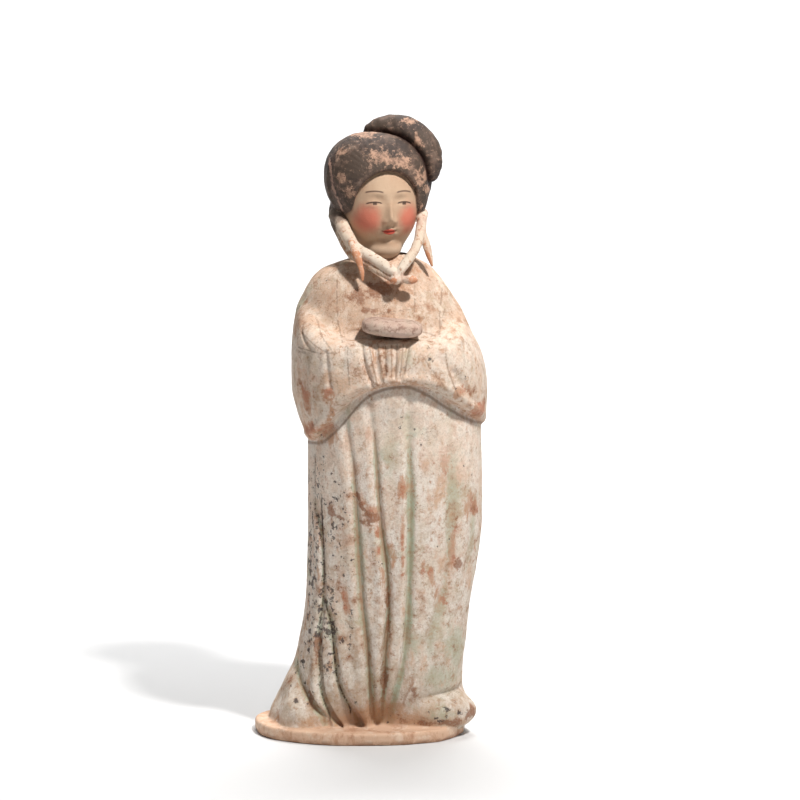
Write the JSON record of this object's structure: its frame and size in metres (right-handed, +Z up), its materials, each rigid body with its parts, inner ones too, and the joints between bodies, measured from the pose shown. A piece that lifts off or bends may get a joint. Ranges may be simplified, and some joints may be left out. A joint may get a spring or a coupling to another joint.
{
  "type": "painted pottery court lady figure",
  "caption": "Standing painted pottery court lady in a long robe, arms folded in wide sleeves, holding a small bundle, hair in a full puff with a topknot, on a thin slab.",
  "frame": {"origin": "on the slab's flat underside, under the middle of its width", "axes": "+Z up through the figure, -Y the way the body faces, +X towards the lady's left"},
  "size_m": [0.1814, 0.135, 0.48],
  "materials": {
    "painted_clay": "matt, buff fired clay under worn white slip and paint"
  },
  "bodies": {
    "root": {"court_lady": "painted_clay"}
  },
  "joints": []
}
